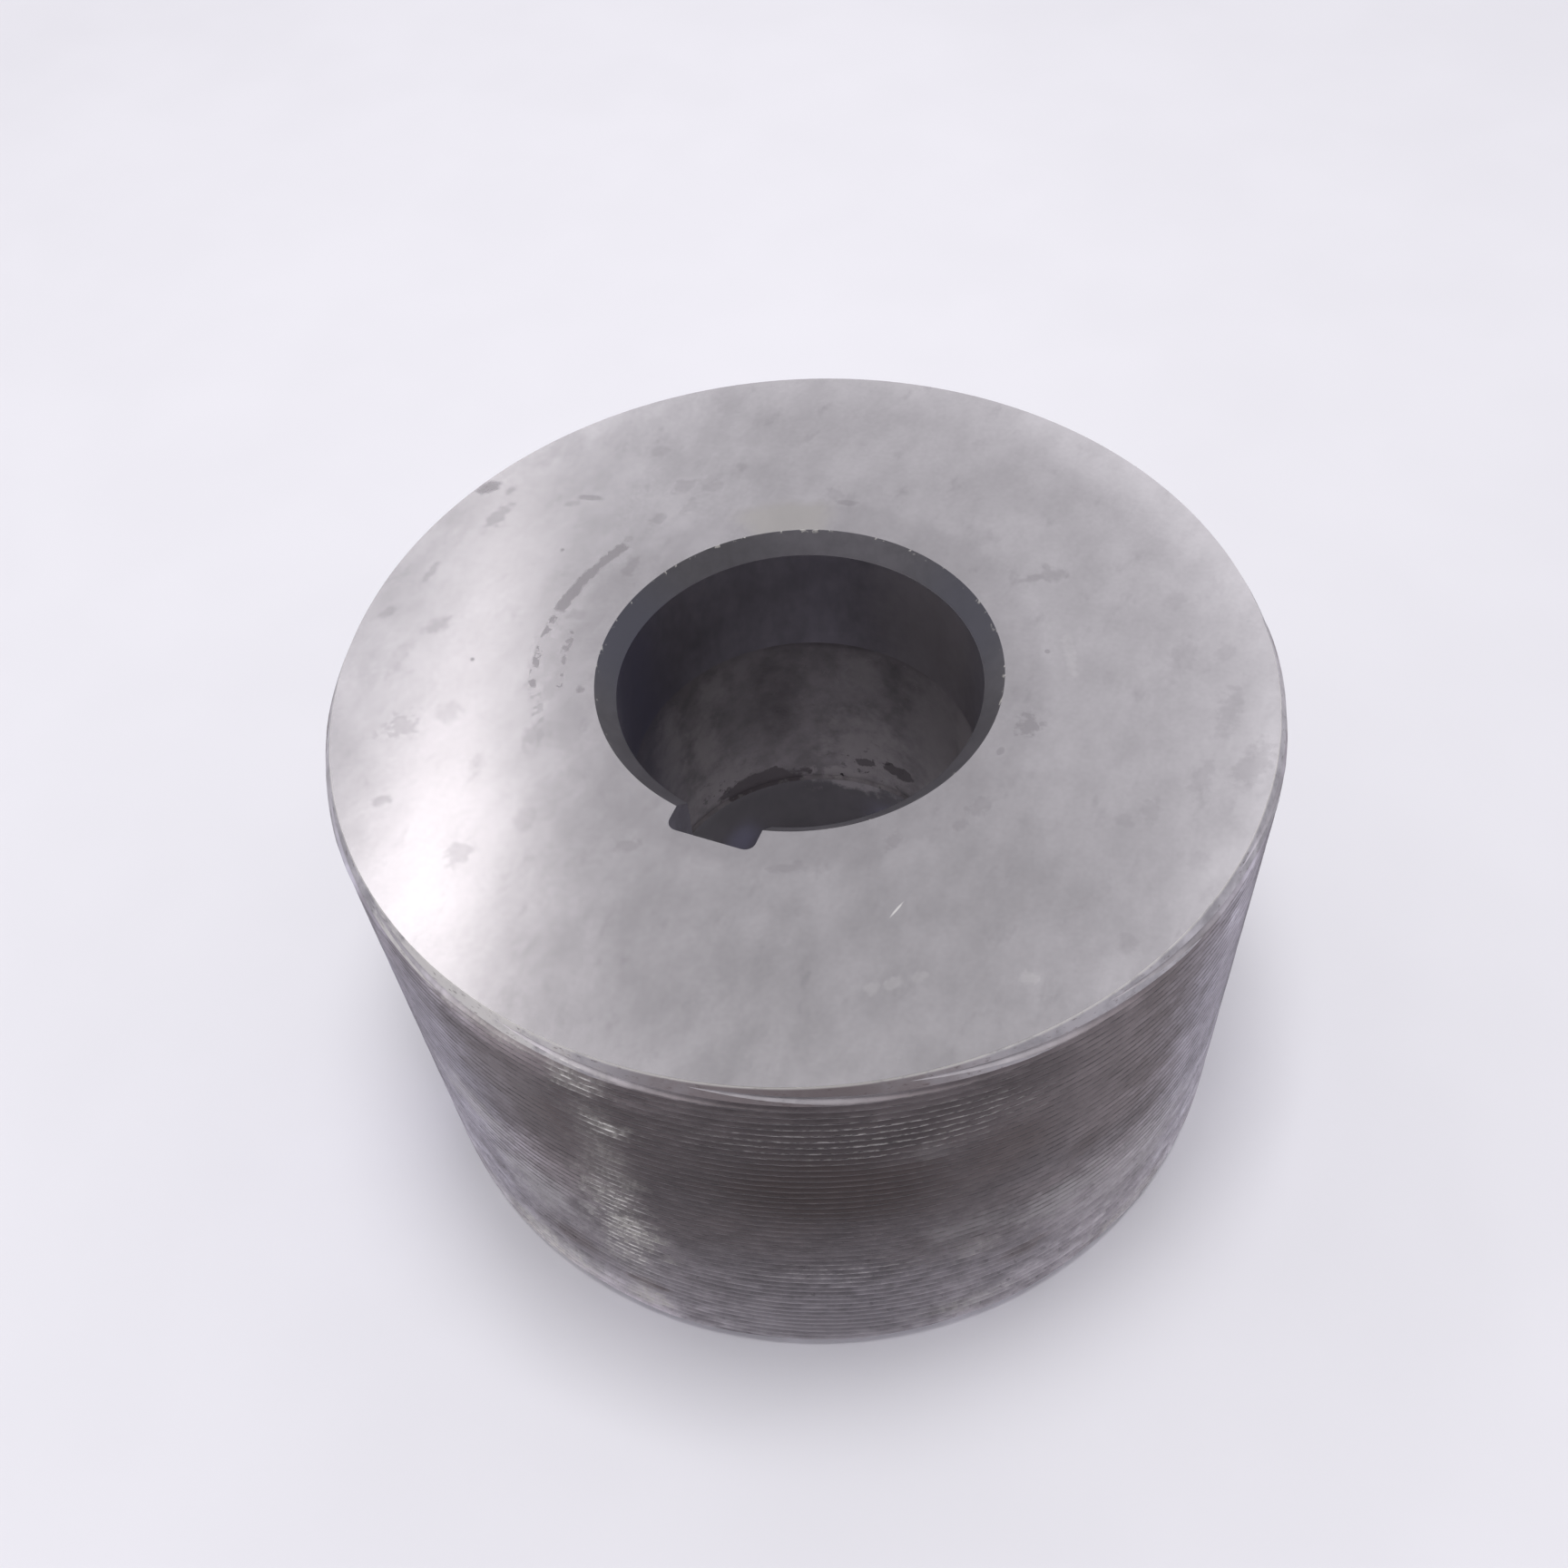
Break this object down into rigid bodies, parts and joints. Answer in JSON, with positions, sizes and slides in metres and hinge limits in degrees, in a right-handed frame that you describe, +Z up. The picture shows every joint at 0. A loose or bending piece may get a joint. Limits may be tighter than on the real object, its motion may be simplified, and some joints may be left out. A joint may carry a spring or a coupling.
{
  "type": "thread rolling die",
  "caption": "Hardened steel ring die with a finely threaded rim, bevelled ends, and a relieved bore with a through keyway, for rolling screw threads.",
  "frame": {"origin": "centre of the lower face, on the bore axis", "axes": "+Z up along the bore axis to the upper face; the keyway lies towards -Y"},
  "size_m": [0.139, 0.139, 0.081],
  "materials": {
    "tool_steel": "ground faces, oil-stained dark thread"
  },
  "bodies": {
    "root": {"rolling_die": "tool_steel"}
  },
  "joints": []
}
